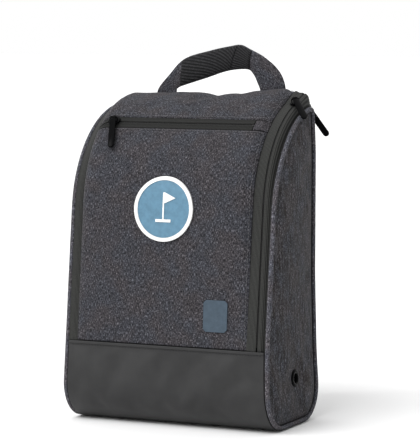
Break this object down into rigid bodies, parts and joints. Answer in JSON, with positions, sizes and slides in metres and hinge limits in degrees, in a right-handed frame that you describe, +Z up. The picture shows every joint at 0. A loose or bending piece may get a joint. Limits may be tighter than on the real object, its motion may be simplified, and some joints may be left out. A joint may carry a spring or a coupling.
{
  "type": "golf shoe bag",
  "caption": "Upright fabric bag for a pair of golf shoes, with a side flap that unzips, a zipped front pocket, a vinyl base, vent eyelets and a padded top handle.",
  "frame": {"origin": "centre of the flat underside of the base", "axes": "+X to the right seen from the front, the front faces -Y, +Z up; the flap is on the +X side"},
  "size_m": [0.2561, 0.1486, 0.4109],
  "materials": {
    "heather": "heathered polyester, matt",
    "strap": "heathered polyester over webbing",
    "piping": "heathered polyester over cord",
    "vinyl": "smooth soft vinyl, low sheen",
    "band": "ribbed woven tape",
    "coil": "nylon coil",
    "lining": "plain woven lining",
    "board": "stiff board",
    "mesh": "open spacer mesh",
    "hardware": "glossy black",
    "badge_rim": "satin moulded rim",
    "badge_blue": "satin moulded disc",
    "badge_white": "satin raised motif",
    "patch": "soft moulded patch"
  },
  "bodies": {
    "bag": {"back_lining": "lining", "back_panel": "heather", "badge_disc": "badge_blue", "badge_motif": "badge_white", "badge_rim": "badge_rim", "base_board": "board", "body_zip_back_stop": "coil", "body_zip_coil": "coil", "body_zip_front_stop": "coil", "body_zip_tape": "band", "front_panel": "heather", "front_patch": "patch", "left_eyelet": "hardware", "left_eyelet_washer": "hardware", "left_handle_tab": "strap", "left_lining": "lining", "left_piping": "piping", "left_side_panel": "heather", "left_trim_band": "band", "pocket_inner_wall": "lining", "pocket_zip_end_patch": "heather", "pocket_zip_lower_coil": "coil", "pocket_zip_lower_tape": "band", "pocket_zip_stop": "coil", "pocket_zip_upper_coil": "coil", "pocket_zip_upper_tape": "band", "right_base_piping": "piping", "right_eyelet": "hardware", "right_eyelet_washer": "hardware", "right_handle_tab": "strap", "right_side_base_panel": "heather", "top_panel": "heather", "vinyl_base": "vinyl", "vinyl_welt": "vinyl"},
    "flap": {"flap_lining": "lining", "flap_panel": "heather", "flap_piping": "piping", "flap_zip_back_stop": "coil", "flap_zip_coil": "coil", "flap_zip_front_stop": "coil", "flap_zip_tape": "band"},
    "front_slider": {"front_slider": "hardware", "front_slider_bail": "hardware"},
    "front_pull": {"front_pull": "hardware"},
    "back_slider": {"back_slider": "hardware", "back_slider_bail": "hardware"},
    "back_pull": {"back_pull": "hardware"},
    "pocket_slider": {"pocket_slider": "hardware", "pocket_slider_bail": "hardware"},
    "pocket_pull": {"pocket_pull": "hardware"},
    "handle": {"handle_strap": "strap", "handle_mesh": "mesh"}
  },
  "joints": [
    {"name": "flap_fold", "type": "hinge", "parent": "bag", "child": "flap", "pos_m": [0.1244, 0, 0.088], "axis": [0, 1, 0], "range_deg": [0, 100]},
    {"name": "front_slider_travel", "type": "hinge", "parent": "flap", "child": "front_slider", "pos_m": [0.1095, 0.0725, 0.229], "axis": [1, 0, 0], "range_deg": [0, 48]},
    {"name": "back_slider_travel", "type": "slide", "parent": "flap", "child": "back_slider", "axis": [0, 0, -1], "range_m": [0, 0.238]},
    {"name": "pocket_slider_travel", "type": "slide", "parent": "bag", "child": "pocket_slider", "axis": [1, 0, 0], "range_m": [0, 0.155]},
    {"name": "front_pull_swing", "type": "hinge", "parent": "front_slider", "child": "front_pull", "pos_m": [0.1095, 0.03443, 0.35351], "axis": [-0.788, -0.5888, -0.18], "range_deg": [0, 150]},
    {"name": "back_pull_swing", "type": "hinge", "parent": "back_slider", "child": "back_pull", "pos_m": [0.1095, 0.0732, 0.341], "axis": [0.766, 0, 0.6428], "range_deg": [0, 150]},
    {"name": "pocket_pull_swing", "type": "hinge", "parent": "pocket_slider", "child": "pocket_pull", "pos_m": [-0.086, -0.01704, 0.33164], "axis": [-0.9703, -0.1823, -0.159], "range_deg": [0, 150]},
    {"name": "handle_swing", "type": "hinge", "parent": "bag", "child": "handle", "pos_m": [0, 0.0695, 0.359], "axis": [1, 0, 0], "range_deg": [-60, 60]}
  ]
}
